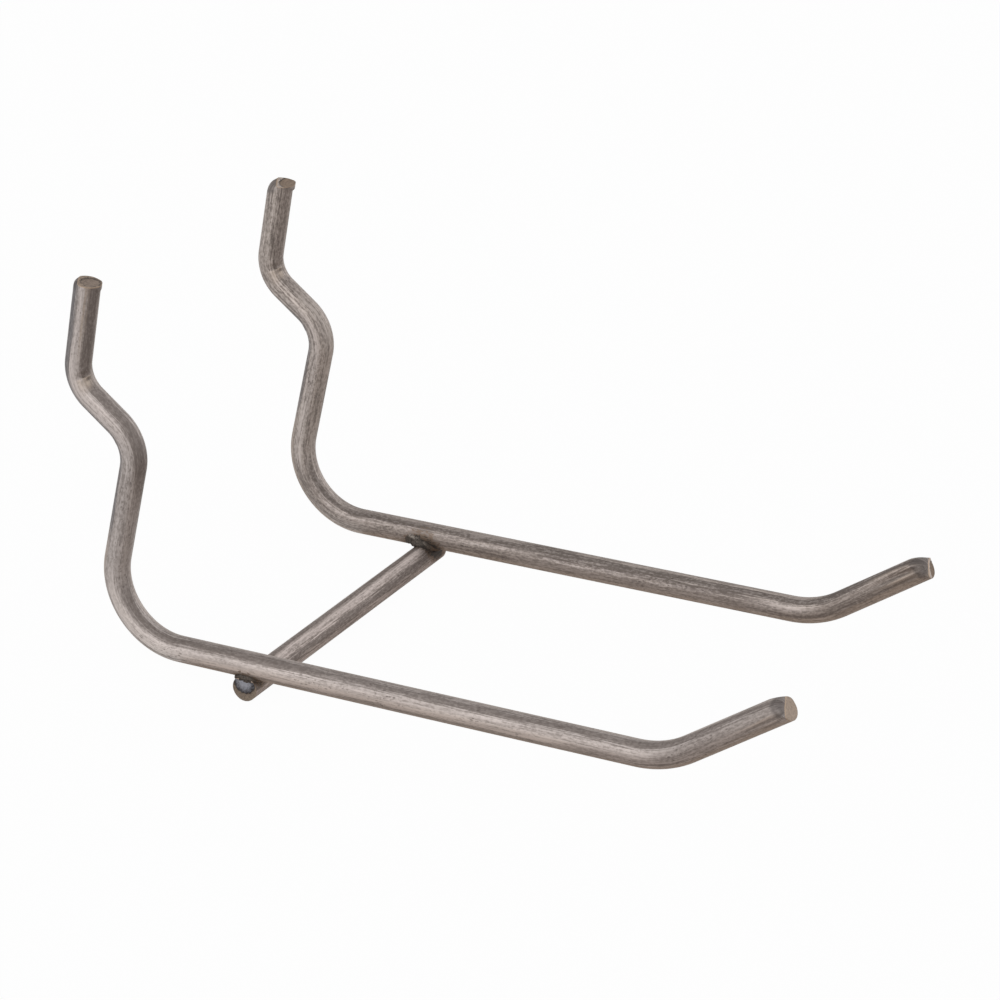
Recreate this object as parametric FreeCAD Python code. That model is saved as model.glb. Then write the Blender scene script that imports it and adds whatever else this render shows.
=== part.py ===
import FreeCAD, Part
import math
import os

# A double pegboard hook: two bent steel wires side by side, joined by a cross bar
# that is resistance-welded under both arms.
# Frame: +X away from the board, +Y to the right for a person facing the board, +Z up.
# The origin lies on the board's front face, midway between the two hooks and level
# with the middle of the sloping runs that pass through the board's holes.
# Lengths are in millimetres and angles in degrees.

V = FreeCAD.Vector

# Wire and layout
wire_d = 3.76              # nine gauge wire
hook_spacing = 50.8        # centre to centre, two hole pitches of the board

# Centre line of one hook, from the top of the peg to the tip of the arm.
# Every bend radius is measured to the centre line.
peg_length = 11.4          # straight run behind the board
peg_bend_r = 5.4
peg_bend_angle = 63.0
crank_length = 4.9         # sloping run through the board's hole
crank_bend_r = 6.2
crank_bend_angle = 65.5
leg_length = 14.4          # straight run that bears on the board's front
arm_bend_r = 10.0
arm_bend_angle = 103.5     # more than a right angle, so the arm rises away from the board
arm_length = 71.0
tip_bend_r = 14.0
tip_bend_angle = 33.5
tip_length = 15.4
left_peg_extra = 0.45      # the left wire was cut a little longer at both its ends
left_tip_extra = 1.0

# Cross bar and its welds
bar_d = 3.76
bar_left_overhang = -0.35  # how far the bar reaches past the left arm's side: it stops short
bar_right_overhang = 0.42
bar_along_arm = 11.4       # from the end of the arm bend to the bar
weld_set_down = 0.8        # how far the bar was pressed into each arm
left_weld_rim = 0.1        # how far the squeezed-out metal shows past the wire's side
right_weld_rim = 0.4
weld_height = 1.9          # full height of the squeezed-out metal before it meets the wires
weld_bevel = 0.5           # width of the bevel at its rim

# Marks that the bending tool's nose left on the inside of the two upper bends
peg_mark_nose_r = 1.35
peg_mark_depth = 0.32
crank_mark_nose_r = 1.5
crank_mark_depth = 0.2

# Sheared ends: each blade rolled one side of the wire over, left the face a little
# hollow and pulled up a burr on the other side. A roll is how far the rolled-over
# side drops.
left_peg_roll = 0.5
left_peg_roll_width = 0.6
left_tip_roll = 0.7
left_tip_roll_width = 1.2
right_peg_roll = 1.5
right_peg_roll_width = 0.95
right_tip_roll = 1.3
right_tip_roll_width = 2.4
bar_roll = 0.35
bar_roll_width = 0.8
tip_shear_turn = 45.0      # how far round from the top, towards the left, each tip is rolled over
roll_knee_across = 0.38    # where the rolled-over curve bends most, as a share of its width
roll_knee_drop = 0.36      # and as a share of its drop
shear_hollow = 0.16
burr_height = 0.28
burr_width = 0.4
end_stock = 3.0            # wire left on beyond each end for the blade to cut off

# A crease along the inner side of the right arm's tip
crease_r = 0.75
crease_depth = 0.4
crease_run = 13.0          # length over which the crease fades out
crease_turn = 28.0         # how far above the wire's widest side the crease lies

tool_marks = {
    "peg_bend": (peg_mark_nose_r, peg_mark_depth),
    "crank_bend": (crank_mark_nose_r, crank_mark_depth),
}


def direction(angle):
    """Unit vector in the hook's own upright plane, turned up from +X."""
    a = math.radians(angle)
    return V(math.cos(a), 0, math.sin(a))


def hook_runs():
    """The centre line's straight runs and bends in order, from peg to tip."""
    return [
        ("peg", peg_length, None, None),
        ("peg_bend", None, peg_bend_r, peg_bend_angle),
        ("crank", crank_length, None, None),
        ("crank_bend", None, crank_bend_r, -crank_bend_angle),
        ("leg", leg_length, None, None),
        ("arm_bend", None, arm_bend_r, arm_bend_angle),
        ("arm", arm_length, None, None),
        ("tip_bend", None, tip_bend_r, tip_bend_angle),
        ("tip", tip_length, None, None),
    ]


def hook_line():
    """Start, end, heading and bend centre of every run, in the part's frame.

    The leg hangs straight down, so the peg's heading is the leg's less the two
    upper bends.
    """
    heading = -90.0 - peg_bend_angle + crank_bend_angle
    here = V(0, 0, 0)
    runs = {}
    for name, length, radius, turn in hook_runs():
        start = here
        if radius is None:
            here = start + direction(heading) * length
            runs[name] = {"start": start, "end": here, "heading": heading}
        else:
            outer = heading + (-90.0 if turn > 0 else 90.0)
            centre = start - direction(outer) * radius
            here = centre + direction(outer + turn) * radius
            runs[name] = {"start": start, "end": here, "centre": centre,
                          "radius": radius, "outer": outer, "turn": turn}
            heading += turn
    # The leg's back bears on the board's face at X = 0, and the middle of the
    # crank is level with the origin.
    crank = runs["crank"]
    shift = V(wire_d / 2 - runs["leg"]["start"].x, 0, -(crank["start"].z + crank["end"].z) / 2)
    for run in runs.values():
        for key in ("start", "end", "centre"):
            if key in run:
                run[key] = run[key] + shift
    return runs


def on_bend(run, part_turned):
    """Point of a bend's centre line after the given share of its turn."""
    return run["centre"] + direction(run["outer"] + run["turn"] * part_turned) * run["radius"]


def mark_share(name, run):
    """Share of a bend's turn that the tool's mark covers.

    The bend's inner line and the tool's nose are two circles that cross at the
    mark's edges.
    """
    nose_r, depth = tool_marks[name]
    inner = run["radius"] - wire_d / 2
    apart = inner + depth - nose_r
    half = math.acos((inner ** 2 + apart ** 2 - nose_r ** 2) / (2 * inner * apart))
    return 2 * math.degrees(half) / abs(run["turn"])


def hook_path(runs, y):
    """The centre line as one wire at the given Y, with stock left on at both ends.

    A marked bend is drawn as three arcs, so that the mark has a stretch of its own.
    """
    side = V(0, y, 0)
    edges = []
    for name, run in runs.items():
        start, end = run["start"] + side, run["end"] + side
        if name == "peg":
            start = start - direction(run["heading"]) * end_stock
        if name == "tip":
            end = end + direction(run["heading"]) * end_stock
        if "turn" in run:
            shares = [0.0, 1.0]
            if name in tool_marks:
                half_mark = mark_share(name, run) / 2
                shares = sorted({0.0, max(0.0, 0.5 - half_mark), min(1.0, 0.5 + half_mark), 1.0})
            for first, last in zip(shares, shares[1:]):
                through = [on_bend(run, share) + side
                           for share in (first, (first + last) / 2, last)]
                edges.append(Part.Arc(*through).toShape())
        else:
            edges.append(Part.makeLine(start, end))
    return Part.Wire(edges)


def shear_cutter(end, outward, toward_burr, diameter, roll, roll_width):
    """Solid that cuts a wire off at `end` and leaves a sheared face.

    The face's section runs across the wire from the rolled-over side to the
    burr, and the cutter is that section pulled through the wire.
    """
    r = diameter / 2
    clear = r + end_stock
    across = outward.cross(toward_burr)

    def at(s, t):
        return end + toward_burr * s + outward * t - across * clear

    rolled = [at(-clear, -roll - (clear - r) * roll / roll_width), at(-r, -roll)]
    roll_top = at(-r + roll_width, 0)
    roll_knee = at(-r + roll_width * roll_knee_across, -roll * roll_knee_drop)
    hollow = at(roll_width / 2 - burr_width / 2, -shear_hollow)
    burr_root = at(r - burr_width, 0)
    burr_top = at(r, burr_height)
    outline = Part.Wire([
        Part.makeLine(rolled[0], rolled[1]),
        Part.Arc(rolled[1], roll_knee, roll_top).toShape(),
        Part.Arc(roll_top, hollow, burr_root).toShape(),
        Part.makeLine(burr_root, burr_top),
        Part.makeLine(burr_top, at(clear, burr_height)),
        Part.makeLine(at(clear, burr_height), at(clear, 2 * clear)),
        Part.makeLine(at(clear, 2 * clear), at(-clear, 2 * clear)),
        Part.makeLine(at(-clear, 2 * clear), rolled[0]),
    ])
    return Part.Face(outline).extrude(across * (2 * clear))


def bend_mark_cutter(run, nose_r, depth, y):
    """Cylinder of the bending tool's nose, pressed into the inside of a bend."""
    middle = on_bend(run, 0.5)
    inward = (run["centre"] - middle).normalize()
    centre = middle + inward * (wire_d / 2 - depth + nose_r)
    start = centre + V(0, y - wire_d, 0)
    return Part.makeCylinder(nose_r, 2 * wire_d, start, V(0, 1, 0))


def crease_cutter(tip, y):
    """Slim tapering groove along the tip's inner side, deepest at its end."""
    along = direction(tip["heading"])
    up = direction(tip["heading"] + 90)
    turn = math.radians(crease_turn)
    out = V(0, -1, 0) * math.cos(turn) + up * math.sin(turn)
    r = wire_d / 2
    deep = tip["end"] + V(0, y, 0) + out * (r - crease_depth + crease_r)
    shallow = tip["end"] - along * crease_run + V(0, y, 0) + out * (r + crease_r)
    slope = deep - shallow
    length = slope.Length * (1 + end_stock / crease_run)
    return Part.makeCylinder(crease_r, length, shallow, slope)


def bent_wire(runs, y, peg_shear, tip_shear, peg_extra=0.0, tip_extra=0.0):
    """One hook with its bend marks and its two sheared ends.

    A shear is the drop and the width of the rolled-over side.
    """
    path = hook_path(runs, y)
    peg, tip = runs["peg"], runs["tip"]
    side = V(0, y, 0)
    peg_out = direction(peg["heading"]) * -1
    tip_out = direction(tip["heading"])
    start = peg["start"] + side + peg_out * end_stock
    section = Part.Wire([Part.makeCircle(wire_d / 2, start, peg_out * -1)])
    wire = path.makePipeShell([section], True, False)
    peg_end = peg["start"] + side + peg_out * peg_extra
    tip_end = tip["end"] + side + tip_out * tip_extra
    peg_burr_side = direction(peg["heading"] + 90)
    turn = math.radians(tip_shear_turn)
    tip_burr_side = direction(tip["heading"] - 90) * math.cos(turn) + V(0, 1, 0) * math.sin(turn)
    cutters = [bend_mark_cutter(runs[name], nose_r, depth, y)
               for name, (nose_r, depth) in tool_marks.items()]
    cutters += [
        shear_cutter(peg_end, peg_out, peg_burr_side, wire_d, *peg_shear),
        shear_cutter(tip_end, tip_out, tip_burr_side, wire_d, *tip_shear),
    ]
    for cutter in cutters:
        wire = wire.cut(cutter)
    return wire


def bar_centre(runs):
    """Middle of the bar: below the arm by both radii less the set-down."""
    arm = runs["arm"]
    below = direction(arm["heading"] - 90)
    drop = wire_d / 2 + bar_d / 2 - weld_set_down
    return arm["start"] + direction(arm["heading"]) * bar_along_arm + below * drop


def cross_bar(runs):
    """Straight bar with its two sheared ends, each close to an arm's outer side."""
    to_side = hook_spacing / 2 + wire_d / 2
    left = bar_centre(runs) - V(0, to_side + bar_left_overhang, 0)
    right = bar_centre(runs) + V(0, to_side + bar_right_overhang, 0)
    stock = V(0, end_stock, 0)
    length = (right - left).Length + 2 * end_stock
    bar = Part.makeCylinder(bar_d / 2, length, left - stock, V(0, 1, 0))
    below = direction(runs["arm"]["heading"] - 90)
    for end, outward in ((left, V(0, -1, 0)), (right, V(0, 1, 0))):
        bar = bar.cut(shear_cutter(end, outward, below, bar_d, bar_roll, bar_roll_width))
    return bar


def weld(runs, y, weld_rim, arm, bar):
    """Metal squeezed out between arm and bar, as a disc with a sharp bevelled rim."""
    above = direction(runs["arm"]["heading"] + 90)
    joint = bar_centre(runs) + V(0, y, 0) + above * (bar_d / 2 - weld_set_down / 2)
    rim = V(0, wire_d / 2 + weld_rim, 0)
    shoulder = rim - V(0, weld_bevel, 0)
    up = above * (weld_height / 2)
    outline = Part.makePolygon([joint - up, joint - up + shoulder, joint + rim,
                                joint + up + shoulder, joint + up, joint - up])
    squeezed_out = Part.Face(outline).revolve(joint, above, 360)
    return squeezed_out.cut(arm).cut(bar)


def build():
    runs = hook_line()
    left_y = -hook_spacing / 2
    right_y = hook_spacing / 2
    bar = cross_bar(runs)
    left = bent_wire(runs, left_y,
                     (left_peg_roll, left_peg_roll_width), (left_tip_roll, left_tip_roll_width),
                     left_peg_extra, left_tip_extra).cut(bar)
    right = bent_wire(runs, right_y,
                      (right_peg_roll, right_peg_roll_width),
                      (right_tip_roll, right_tip_roll_width)).cut(bar)
    right = right.cut(crease_cutter(runs["tip"], right_y))
    return {
        "left_wire": left,
        "right_wire": right,
        "cross_bar": bar,
        "left_weld": weld(runs, left_y, left_weld_rim, left, bar),
        "right_weld": weld(runs, right_y, right_weld_rim, right, bar),
    }


os.makedirs("parts", exist_ok=True)
for name, shape in build().items():
    solid = shape.Solids[0]
    solid.exportStep(os.path.join("parts", name + ".step"))
    print(name, "solids", len(shape.Solids), "valid", solid.isValid(),
          "volume", round(solid.Volume, 2), "faces", len(solid.Faces))
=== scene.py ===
# %% [markdown]
# # A double pegboard hook, dressed for its portrait
#
# The real thing is two bent steel wires, side by side, with a straight bar welded
# under both of them. Everything here is bare drawn wire, so the whole lesson is about
# one finish looked at closely, and about how bending, cutting and welding change it.
# The CAD model is loaded first. It gives the size, and each new piece stands for one
# of its solids.

# %% Load the CAD model and keep its box
import bpy
import math
import numpy as np
from mathutils import Matrix, Vector


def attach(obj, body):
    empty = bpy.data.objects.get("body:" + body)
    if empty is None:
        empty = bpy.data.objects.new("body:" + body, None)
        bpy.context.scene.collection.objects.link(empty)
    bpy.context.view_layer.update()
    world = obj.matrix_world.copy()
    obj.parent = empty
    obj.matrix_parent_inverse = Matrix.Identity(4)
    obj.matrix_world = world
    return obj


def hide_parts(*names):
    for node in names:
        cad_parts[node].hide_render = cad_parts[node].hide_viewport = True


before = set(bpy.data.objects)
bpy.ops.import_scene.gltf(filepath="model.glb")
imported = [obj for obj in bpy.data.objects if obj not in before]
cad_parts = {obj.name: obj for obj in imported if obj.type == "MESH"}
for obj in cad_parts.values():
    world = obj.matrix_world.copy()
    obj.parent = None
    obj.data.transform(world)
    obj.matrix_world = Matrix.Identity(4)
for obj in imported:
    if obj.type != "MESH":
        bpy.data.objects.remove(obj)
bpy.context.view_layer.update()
scene = bpy.context.scene
scene.view_settings.view_transform = "Standard"
mm = 0.001
print("CAD solids:", sorted(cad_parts))

# %% [markdown]
# ## The camera
#
# The photograph was taken from the left, a little above the hooks, with a long lens,
# so the far hook looks almost as large as the near one. The camera also leans, because
# the hook lay tipped forward on its bar when it was photographed. Building the camera
# from three directions (right, up, back) keeps that lean exact.

# %% Camera from azimuth, elevation and lean
camera_azimuth = math.radians(22.232)
camera_elevation = math.radians(28.633)
camera_lean = math.radians(12.92)
camera_distance = 0.48978
camera_aim = Vector((0.044955, 0.002411, -0.003882))
camera_lens = 125.786

back = Vector((math.sin(camera_azimuth) * math.cos(camera_elevation),
               -math.cos(camera_azimuth) * math.cos(camera_elevation),
               math.sin(camera_elevation)))
level_right = Vector((math.cos(camera_azimuth), math.sin(camera_azimuth), 0))
level_up = back.cross(level_right)
camera_right = level_right * math.cos(camera_lean) + level_up * math.sin(camera_lean)
camera_up = level_up * math.cos(camera_lean) - level_right * math.sin(camera_lean)

camera_data = bpy.data.cameras.new("camera")
camera_data.lens = camera_lens
camera_data.sensor_width = 36
camera_data.clip_start = 0.01
camera_data.clip_end = 20
camera = bpy.data.objects.new("camera", camera_data)
scene.collection.objects.link(camera)
turn = Matrix((camera_right, camera_up, back)).transposed().to_4x4()
camera.matrix_world = Matrix.Translation(camera_aim + back * camera_distance) @ turn
scene.camera = camera
print("camera at", [round(x, 4) for x in camera.matrix_world.translation])

# %% [markdown]
# ## Small helpers for the node editor
#
# A finish is a chain of nodes. A few short helpers, one that places a node and wires
# it up and some for sums, ramps, mixes and noises, keep every later cell readable.

# %% Placing nodes
def add_node(tree, kind, inputs=None, **settings):
    """Places a node, sets its options, and sets or links its inputs."""
    made = tree.nodes.new(kind)
    for key, value in settings.items():
        setattr(made, key, value)
    for key, value in (inputs or {}).items():
        if isinstance(value, bpy.types.NodeSocket):
            tree.links.new(value, made.inputs[key])
        else:
            made.inputs[key].default_value = value
    return made


def math_node(tree, operation, a, b=0.0, clamp=False):
    """One sum in the node tree. Returns its output."""
    made = add_node(tree, "ShaderNodeMath", {0: a, 1: b}, operation=operation, use_clamp=clamp)
    return made.outputs[0]


def ramp_node(tree, value, low, high, to_low=0.0, to_high=1.0):
    """Maps low..high to to_low..to_high, smoothly and clamped."""
    made = add_node(tree, "ShaderNodeMapRange",
                    {"Value": value, "From Min": low, "From Max": high,
                     "To Min": to_low, "To Max": to_high},
                    interpolation_type="SMOOTHSTEP")
    return made.outputs["Result"]


def mix_colour(tree, factor, a, b):
    """Mixes two colours. Returns the output socket."""
    inputs = {0: factor}
    for slot, colour in ((6, a), (7, b)):
        inputs[slot] = colour if isinstance(colour, bpy.types.NodeSocket) else (*colour, 1)
    return add_node(tree, "ShaderNodeMix", inputs, data_type="RGBA").outputs[2]


def noise_node(tree, place, scale, detail, roughness=0.5):
    """A noise of that scale, from 0 to 1."""
    made = add_node(tree, "ShaderNodeTexNoise",
                    {"Vector": place, "Scale": scale, "Detail": detail, "Roughness": roughness})
    return made.outputs["Fac"]


def split_node(tree, vector):
    """The three parts of a vector."""
    return add_node(tree, "ShaderNodeSeparateXYZ", {0: vector}).outputs


print("node helpers ready")

# %% Sums of many values
def product(tree, *values, clamp=False):
    """All values multiplied."""
    total = values[0]
    for value in values[1:]:
        total = math_node(tree, "MULTIPLY", total, value)
    total.node.use_clamp = clamp
    return total


def weighted_sum(tree, parts, base=None, clamp=False):
    """All values added up, each times its own share, on top of a base."""
    total = base
    for value, share in parts:
        part = math_node(tree, "MULTIPLY", value, share)
        total = part if total is None else math_node(tree, "ADD", total, part)
    total.node.use_clamp = clamp
    return total


print("sum helpers ready")

# %% [markdown]
# A node group is a finish's building block. It is made once, shows named values, and can
# be placed in any material. These helpers make a group, place it, and start a material.

# %% Groups and materials
def new_group(name, inputs, outputs):
    """A shader node group with named inputs and outputs."""
    kinds = {"value": "NodeSocketFloat", "vector": "NodeSocketVector", "colour": "NodeSocketColor"}
    group = bpy.data.node_groups.new(name, "ShaderNodeTree")
    for label, kind in inputs:
        group.interface.new_socket(label, in_out="INPUT", socket_type=kinds[kind])
    for label, kind in outputs:
        group.interface.new_socket(label, in_out="OUTPUT", socket_type=kinds[kind])
    given = group.nodes.new("NodeGroupInput").outputs
    result = group.nodes.new("NodeGroupOutput").inputs
    return group, given, result


def use_group(tree, group, inputs):
    """Places a group in a tree, with its own values. Returns its outputs."""
    return add_node(tree, "ShaderNodeGroup", inputs, node_tree=group).outputs


def new_material(name):
    """A material with an empty tree but for its shader. Returns tree and shader too."""
    material = bpy.data.materials.new(name)
    material.use_nodes = True
    return material, material.node_tree, material.node_tree.nodes["Principled BSDF"]


print("group helpers ready")

# %% [markdown]
# ## A white floor and soft studio light
#
# The photograph has a pure white background. The floor is white for the camera and for
# reflections by its own colour, and mixes in a share of ordinary white paint, so that
# it still takes the hook's soft shadow.

# %% Floor
floor_z = -32.95 * mm
floor_radius = 4
floor_glow_share = 0.97

bpy.ops.object.select_all(action="DESELECT")
bpy.ops.mesh.primitive_circle_add(vertices=96, radius=floor_radius, fill_type="NGON",
                                  location=(0, 0, floor_z))
floor = bpy.context.object
floor.name = "floor"


def seen_directly(tree):
    """1 for camera, mirror and glass rays, 0 for the light that bounces about."""
    ray = add_node(tree, "ShaderNodeLightPath").outputs
    seen = math_node(tree, "MAXIMUM", ray["Is Camera Ray"], ray["Is Glossy Ray"])
    return math_node(tree, "MAXIMUM", seen, ray["Is Transmission Ray"])


floor_paint, tree, shader = new_material("white_floor")
shader.inputs["Base Color"].default_value = (0.85, 0.85, 0.85, 1)
shader.inputs["Roughness"].default_value = 0.9
shader.inputs["Specular IOR Level"].default_value = 0
glow = add_node(tree, "ShaderNodeEmission", {"Color": (1, 1, 1, 1), "Strength": 1.0})
share = product(tree, seen_directly(tree), floor_glow_share)
floor_mix = add_node(tree, "ShaderNodeMixShader", {0: share, 1: shader.outputs[0], 2: glow.outputs[0]})
tree.links.new(floor_mix.outputs[0], tree.nodes["Material Output"].inputs["Surface"])
floor.data.materials.append(floor_paint)
print("floor at", floor_z)

# %% [markdown]
# The world is the white room round the hook. The camera and the metal's reflections see
# pure white in it, while the light that it gives to the scene is weaker and a little blue.

# %% World
world = bpy.data.worlds.new("studio")
world.use_nodes = True
scene.world = world
tree = world.node_tree
fill_light = tree.nodes["Background"]
fill_light.inputs["Color"].default_value = (0.96, 0.97, 1.0, 1)
fill_light.inputs["Strength"].default_value = 0.55
white_view = add_node(tree, "ShaderNodeBackground", {"Color": (1, 1, 1, 1), "Strength": 1.0})
world_mix = add_node(tree, "ShaderNodeMixShader",
                     {0: seen_directly(tree), 1: fill_light.outputs[0], 2: white_view.outputs[0]})
tree.links.new(world_mix.outputs[0], tree.nodes["World Output"].inputs["Surface"])
print("world fill", fill_light.inputs["Strength"].default_value)

# %% [markdown]
# The bright line on a round wire shows where the light is. It runs along the middle of
# the arms, down the left of the legs, and along the upper left of the bar, and only a
# large box to the left of the camera and a little above it gives all three. A second,
# weaker box behind lifts the edges on the right.

# %% Soft boxes
object_middle = Vector((0.045, 0, -0.01))


def soft_box(name, direction, distance, size, watts, colour):
    """A square soft light that faces the hook."""
    data = bpy.data.lights.new(name, "AREA")
    data.shape = "SQUARE"
    data.size = size
    data.energy = watts
    data.color = colour
    lamp = bpy.data.objects.new(name, data)
    scene.collection.objects.link(lamp)
    away = Vector(direction).normalized()
    lamp.location = object_middle + away * distance
    lamp.rotation_mode = "QUATERNION"
    lamp.rotation_quaternion = away.to_track_quat("Z", "Y")
    print(name, "brightness", round(watts / (math.pi * size ** 2), 2))


soft_box("key", (-0.42, -0.85, 0.38), 0.9, 0.8, 2.6, (1.0, 0.985, 0.975))
soft_box("back_right", (0.33, 0.81, 0.48), 1.0, 0.5, 0.9, (1.0, 0.98, 0.98))

# %% [markdown]
# Bare metal has no colour of its own until it has something to reflect. White on every
# side would make it look like chalk, so photographers stand dark cards round it. These
# cards are seen in the metal only, never by the camera, and cast no shadow.

# %% Dark cards
def dark_card(name, centre, facing, width, height, colour):
    """A card that shows only as a reflection in the metal."""
    bpy.ops.object.select_all(action="DESELECT")
    bpy.ops.mesh.primitive_plane_add(size=1, location=centre)
    card = bpy.context.object
    card.name = name
    card.scale = (width, height, 1)
    card.rotation_mode = "QUATERNION"
    card.rotation_quaternion = Vector(facing).to_track_quat("Z", "Y")
    card.visible_camera = False
    card.visible_diffuse = False
    card.visible_shadow = False
    card.visible_transmission = False
    paint, card_tree, _ = new_material(name + "_paint")
    card_glow = add_node(card_tree, "ShaderNodeEmission", {"Color": (*colour, 1), "Strength": 1.0})
    card_tree.links.new(card_glow.outputs[0], card_tree.nodes["Material Output"].inputs["Surface"])
    card.data.materials.append(paint)
    print(name, "at", centre)


dark_card("back_card", (-0.36, 0.52, 0.17), (0.5, -0.8, -0.2), 0.6, 0.42, (0.48, 0.45, 0.43))
dark_card("right_card", (0.135, 0.0, floor_z + 0.1 * mm), (0, 0, 1), 0.24, 0.5, (0.62, 0.56, 0.52))

# %% [markdown]
# ## The wire's centre line
#
# A wire bender feeds straight wire and turns it round a tool, so the hook's shape is a
# list of straight runs and bends. The same list, in the same order, gives the centre
# line here. Everything on the wire is then placed by how far along it is and on which
# side, as a maker would mark it.

# %% Sizes of the hook
wire_r = 3.76 * mm / 2
hook_spacing = 50.8 * mm
leg_heading = -90.0
hook_runs = [
    ("peg", 11.4, None, None),
    ("peg_bend", None, 5.4, 63.0),
    ("crank", 4.9, None, None),
    ("crank_bend", None, 6.2, -65.5),
    ("leg", 14.4, None, None),
    ("arm_bend", None, 10.0, 103.5),
    ("arm", 71.0, None, None),
    ("tip_bend", None, 14.0, 33.5),
    ("tip", 15.4, None, None),
]


def toward(angle):
    """Unit vector in the hook's own upright plane, turned up from +X. Degrees."""
    return Vector((math.cos(math.radians(angle)), 0, math.sin(math.radians(angle))))


def measure_runs():
    """Every run with its start, end, heading, and how far along the wire it starts."""
    heading = leg_heading - sum(run[3] for run in hook_runs[:4] if run[3])
    here = Vector((0, 0, 0))
    far = 0.0
    found = {}
    for name, length, radius, angle in hook_runs:
        start = here
        run = {"start": start, "heading": heading, "from": far}
        if radius is None:
            run["length"] = length * mm
            here = start + toward(heading) * run["length"]
        else:
            run["radius"] = radius * mm
            run["turn"] = angle
            run["outer"] = heading + (-90.0 if angle > 0 else 90.0)
            run["centre"] = start - toward(run["outer"]) * run["radius"]
            here = run["centre"] + toward(run["outer"] + angle) * run["radius"]
            run["length"] = run["radius"] * math.radians(abs(angle))
            heading += angle
        run["end"] = here
        far += run["length"]
        found[name] = run
    crank = found["crank"]
    shift = Vector((wire_r - found["leg"]["start"].x, 0, -(crank["start"].z + crank["end"].z) / 2))
    for run in found.values():
        for key in ("start", "end", "centre"):
            if key in run:
                run[key] = run[key] + shift
    return found


runs = measure_runs()
wire_length = runs["tip"]["from"] + runs["tip"]["length"]
print("wire length", round(wire_length / mm, 1), "mm")

# %% [markdown]
# A maker says where a mark is by its distance along the wire and the side it is on. This
# helper finds that for every point: it tries all the runs and keeps the nearest one.

# %% Where a point lies on the wire
def place_on_wire(points, side):
    """For points round a wire at Y = side: how far along, and the offset from the centre
    line, first towards the left of the run's heading and then towards +Y."""
    x, y, z = points[:, 0], points[:, 1] - side, points[:, 2]
    best = np.full(len(points), 1e9)
    along = np.zeros(len(points))
    left = np.zeros(len(points))
    for name, run in runs.items():
        if "turn" in run:
            dx, dz = x - run["centre"].x, z - run["centre"].z
            sign = 1 if run["turn"] > 0 else -1
            angle = np.degrees(np.arctan2(dz, dx)) - run["outer"]
            angle = ((angle * sign + 180) % 360) - 180
            turned = np.clip(angle, 0, abs(run["turn"]))
            spill = np.radians(np.abs(angle - turned)) * run["radius"]
            off = (run["radius"] - np.hypot(dx, dz)) * sign
            far = run["from"] + np.radians(turned) * run["radius"]
        else:
            ahead = toward(run["heading"])
            dx, dz = x - run["start"].x, z - run["start"].z
            t = dx * ahead.x + dz * ahead.z
            low = -1.0 if name == "peg" else 0.0
            high = 1.0 if name == "tip" else run["length"]
            spill = np.abs(t - np.clip(t, low, high))
            off = dz * ahead.x - dx * ahead.z
            far = run["from"] + t
        gap = np.hypot(spill, np.maximum(np.hypot(off, y) - wire_r * 1.2, 0))
        gap = gap + 1e-6 * np.hypot(off, y)
        nearer = gap < best
        best = np.where(nearer, gap, best)
        along = np.where(nearer, far, along)
        left = np.where(nearer, off, left)
    return along, left, y


print("legs' front face at X =", round((runs["leg"]["start"].x - wire_r) / mm, 3), "mm")

# %% [markdown]
# ## Modelling tools
#
# Each piece starts as a circle that is drawn out, as wire is. Straight runs are
# extruded and bends are spun round their own centre. The marks that tools leave are
# then pressed in: a weight for every vertex, as in weight painting, and Displace
# modifiers that move it by that weight.

# %% Selecting and measuring
around = 96
pitch = 0.42 * mm
end_pitch = 0.14 * mm
end_zone = 3.6 * mm


def select_none():
    """Leaves edit mode and selects nothing."""
    if bpy.context.mode != "OBJECT":
        bpy.ops.object.mode_set(mode="OBJECT")
    bpy.ops.object.select_all(action="DESELECT")


def select_only(piece):
    """Makes one object the only selected and active one."""
    select_none()
    piece.select_set(True)
    bpy.context.view_layer.objects.active = piece


def vertex_places(piece):
    """All vertex positions as an array."""
    flat = np.zeros(len(piece.data.vertices) * 3)
    piece.data.vertices.foreach_get("co", flat)
    return flat.reshape(-1, 3)


def edge_ends(piece):
    """The two vertex numbers of every edge."""
    flat = np.zeros(len(piece.data.edges) * 2, int)
    piece.data.edges.foreach_get("vertices", flat)
    return flat.reshape(-1, 2)


def select_parts(piece, kind, chosen):
    """Selects the vertices or edges that are true in an array, and enters edit mode."""
    select_only(piece)
    bpy.ops.object.mode_set(mode="EDIT")
    bpy.ops.mesh.select_mode(type=kind)
    bpy.ops.mesh.select_all(action="DESELECT")
    bpy.ops.object.mode_set(mode="OBJECT")
    parts = piece.data.vertices if kind == "VERT" else piece.data.edges
    parts.foreach_set("select", np.asarray(chosen, bool))
    bpy.ops.object.mode_set(mode="EDIT")


def smooth_step(low, high, values):
    """0 below low, 1 above high, smooth between."""
    t = np.clip((values - low) / (high - low), 0, 1)
    return t * t * (3 - 2 * t)


print("vertices round the wire:", around)

# %% [markdown]
# A dent could be sculpted by hand. Weights that are worked out from measures, and a
# Displace modifier that obeys them, give the same dent every time.

# %% Pressing marks in
least_weight = 1e-4
least_move = 0.001 * mm


def displace(piece, weights, **settings):
    """Moves the weighted vertices by one Displace modifier, and applies it."""
    select_only(piece)
    group = piece.vertex_groups.new(name="pressed")
    for index in np.nonzero(weights > least_weight)[0]:
        group.add([int(index)], float(weights[index]), "REPLACE")
    shove = piece.modifiers.new("shove", "DISPLACE")
    for key, value in settings.items():
        setattr(shove, key, value)
    shove.vertex_group = "pressed"
    bpy.ops.object.modifier_apply(modifier=shove.name)
    piece.vertex_groups.clear()


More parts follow.
